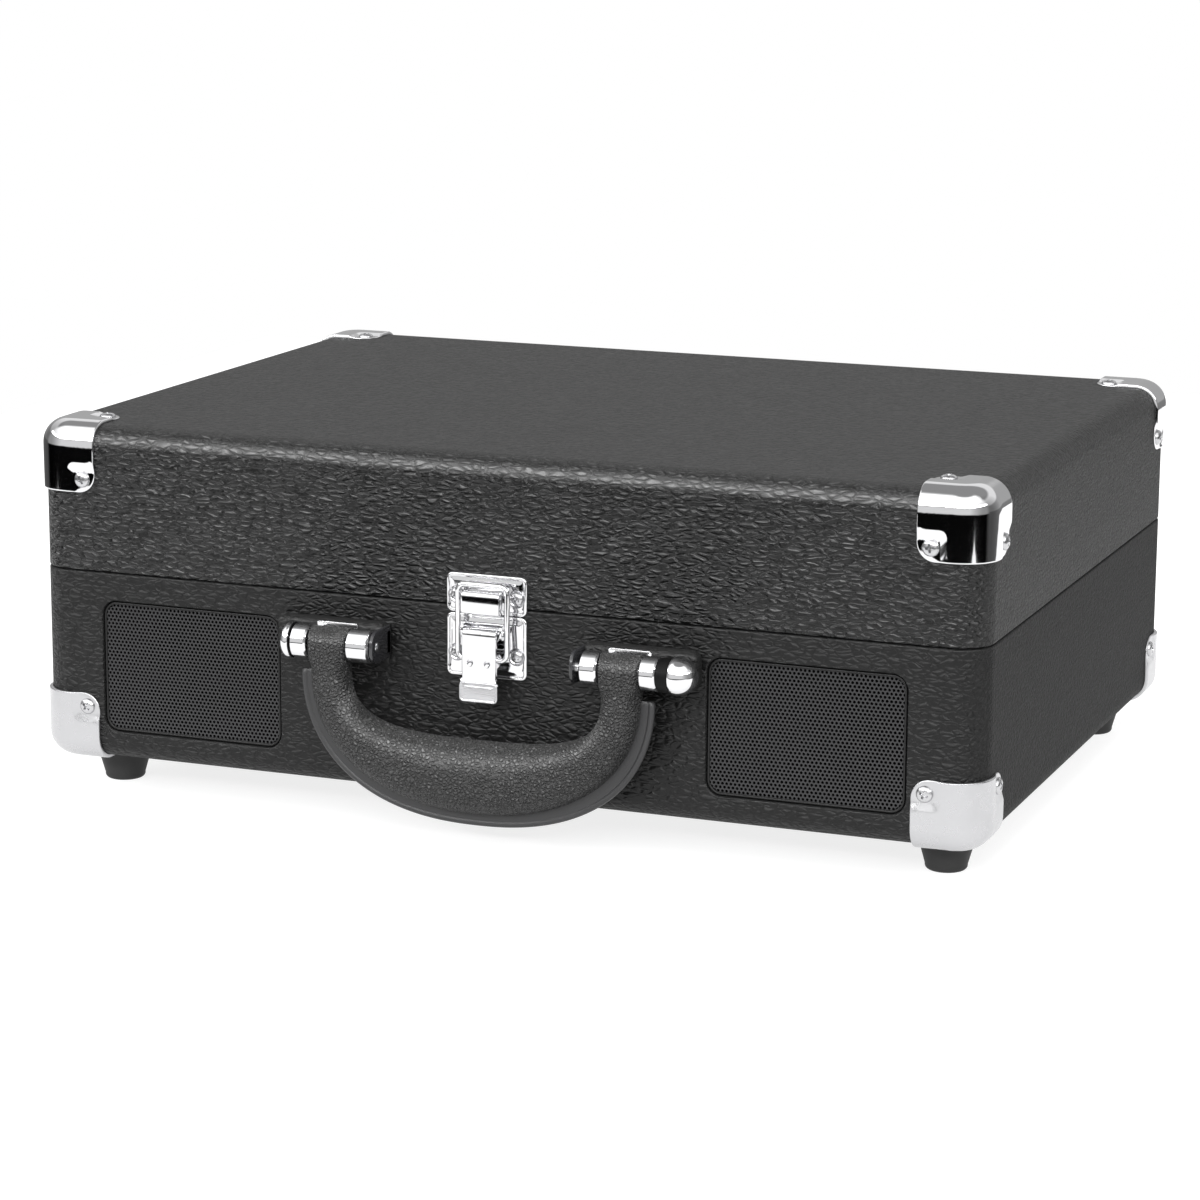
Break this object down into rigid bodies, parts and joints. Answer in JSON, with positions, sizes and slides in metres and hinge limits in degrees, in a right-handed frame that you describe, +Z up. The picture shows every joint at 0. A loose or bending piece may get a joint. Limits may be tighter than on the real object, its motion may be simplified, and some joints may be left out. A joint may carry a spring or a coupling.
{
  "type": "suitcase record player",
  "caption": "Portable suitcase record player, closed: hinged lid over a platter and tonearm, draw latch, swinging handle, grilled speakers, metal corners and rubber feet.",
  "frame": {"origin": "on the floor, under the middle of the whole object's box", "axes": "+X along the case's width to the right of someone facing the latch, -Y out of the front with the latch and handle, +Z up"},
  "size_m": [0.3576, 0.2874, 0.1375],
  "materials": {
    "leatherette": "black pebbled leatherette over wood board",
    "chrome": "bright nickel-chrome plate",
    "steel": "plain zinc-plated or machined steel",
    "rubber": "matt black rubber",
    "black_plastic": "fine-textured black moulding",
    "gloss_plastic": "smooth black moulding",
    "grille_metal": "black-painted perforated sheet",
    "cone_paper": "pressed paper cone",
    "felt": "black felt and flock",
    "circuit_board": "green circuit board laminate"
  },
  "bodies": {
    "base": {"base_shell": "leatherette", "handle_bracket_left": "leatherette", "handle_bracket_right": "leatherette", "corner_base_front_left": "chrome", "corner_base_front_right": "chrome", "corner_base_back_left": "chrome", "corner_base_back_right": "chrome", "handle_pivot_left": "chrome", "handle_pivot_right": "chrome", "latch_base_plate": "chrome", "line_out_sockets": "chrome", "speaker_frame_left": "steel", "speaker_frame_right": "steel", "hinge_base_left": "steel", "hinge_base_right": "steel", "spindle_shaft": "steel", "motor": "steel", "headphone_socket": "steel", "foot_front_left": "rubber", "foot_front_right": "rubber", "foot_back_left": "rubber", "foot_back_right": "rubber", "drive_belt": "rubber", "rear_jack_panel": "black_plastic", "power_socket": "black_plastic", "deck_plate": "black_plastic", "tonearm_base": "black_plastic", "tonearm_rest": "black_plastic", "speaker_grille_left": "grille_metal", "speaker_grille_right": "grille_metal", "speaker_cone_left": "cone_paper", "speaker_cone_right": "cone_paper", "circuit_board": "circuit_board"},
    "lid": {"lid_shell": "leatherette", "lid_lining": "felt", "corner_lid_front_left": "chrome", "corner_lid_front_right": "chrome", "corner_lid_back_left": "chrome", "corner_lid_back_right": "chrome", "latch_keeper_plate": "chrome", "hinge_lid_left": "steel", "hinge_lid_right": "steel"},
    "handle": {"handle_grip": "leatherette"},
    "latch_lever": {"latch_lever": "chrome"},
    "latch_loop": {"latch_loop": "chrome"},
    "platter": {"platter": "steel", "slipmat": "felt"},
    "motor_pulley": {"motor_pulley": "gloss_plastic"},
    "tonearm_gimbal": {"tonearm_gimbal": "gloss_plastic"},
    "tonearm": {"tonearm_tube": "gloss_plastic", "cartridge": "black_plastic"},
    "cue_lever": {"cue_lever": "gloss_plastic"},
    "cue_lift_bar": {"cue_lift_bar": "gloss_plastic"},
    "tonearm_clip": {"tonearm_clip": "black_plastic"},
    "speed_lever": {"speed_lever": "gloss_plastic"},
    "autostop_switch": {"autostop_switch": "gloss_plastic"},
    "volume_knob": {"volume_knob": "chrome"},
    "mode_knob": {"mode_knob": "chrome"},
    "adapter_45": {"adapter_45": "black_plastic"}
  },
  "joints": [
    {"name": "lid_hinge", "type": "hinge", "parent": "base", "child": "lid", "pos_m": [0, 0.1411, 0.0833], "axis": [-1, 0, 0], "range_deg": [0, 100]},
    {"name": "handle_swing", "type": "hinge", "parent": "base", "child": "handle", "pos_m": [0, -0.1342, 0.0683], "axis": [-1, 0, 0], "range_deg": [0, 100]},
    {"name": "latch_lever_hinge", "type": "hinge", "parent": "base", "child": "latch_lever", "pos_m": [0, -0.1268, 0.0756], "axis": [-1, 0, 0], "range_deg": [0, 100]},
    {"name": "latch_loop_hinge", "type": "hinge", "parent": "latch_lever", "child": "latch_loop", "pos_m": [0, -0.1272, 0.0658], "axis": [-1, 0, 0], "range_deg": [-72, 0]},
    {"name": "platter_spin", "type": "hinge", "parent": "base", "child": "platter", "pos_m": [-0.04, 0.0118, 0.085], "axis": [0, 0, -1], "continuous": true},
    {"name": "pulley_spin", "type": "hinge", "parent": "base", "child": "motor_pulley", "pos_m": [-0.09802, 0.0453, 0.08], "axis": [0, 0, -1], "continuous": true},
    {"name": "tonearm_swing", "type": "hinge", "parent": "base", "child": "tonearm_gimbal", "pos_m": [0.12, 0.0828, 0.098], "axis": [0, 0, -1], "range_deg": [0, 50]},
    {"name": "tonearm_lift", "type": "hinge", "parent": "tonearm_gimbal", "child": "tonearm", "pos_m": [0.12, 0.0828, 0.098], "axis": [-1, 0, 0], "range_deg": [0, 6]},
    {"name": "cue_lever_turn", "type": "hinge", "parent": "base", "child": "cue_lever", "pos_m": [0.14, 0.0698, 0.0845], "axis": [-1, 0, 0], "range_deg": [0, 46]},
    {"name": "cue_bar_slide", "type": "slide", "parent": "base", "child": "cue_lift_bar", "axis": [0, 0, 1], "range_m": [0, 0.0031]},
    {"name": "tonearm_clip_turn", "type": "hinge", "parent": "base", "child": "tonearm_clip", "pos_m": [0.1262, -0.0272, 0.1042], "axis": [0, -1, 0], "range_deg": [0, 100]},
    {"name": "speed_slide", "type": "slide", "parent": "base", "child": "speed_lever", "axis": [1, 0, 0], "range_m": [0, 0.012]},
    {"name": "autostop_slide", "type": "slide", "parent": "base", "child": "autostop_switch", "axis": [1, 0, 0], "range_m": [0, 0.005]},
    {"name": "volume_turn", "type": "hinge", "parent": "base", "child": "volume_knob", "pos_m": [0.152, -0.0372, 0.085], "axis": [0, 0, -1], "range_deg": [0, 300]},
    {"name": "mode_turn", "type": "hinge", "parent": "base", "child": "mode_knob", "pos_m": [0.152, -0.0702, 0.085], "axis": [0, 0, -1], "range_deg": [0, 60]},
    {"name": "adapter_lift", "type": "slide", "parent": "base", "child": "adapter_45", "axis": [0, 0, 1], "range_m": [0, 0.02]}
  ],
  "couplings": [
    {"joint": "pulley_spin", "follows": "platter_spin", "ratio": 13.75},
    {"joint": "latch_loop_hinge", "follows": "latch_lever_hinge", "ratio": -0.7},
    {"joint": "cue_lever_turn", "follows": "tonearm_lift", "ratio": 7.5},
    {"joint": "cue_bar_slide", "follows": "tonearm_lift", "m_per_rad": 0.0285}
  ]
}
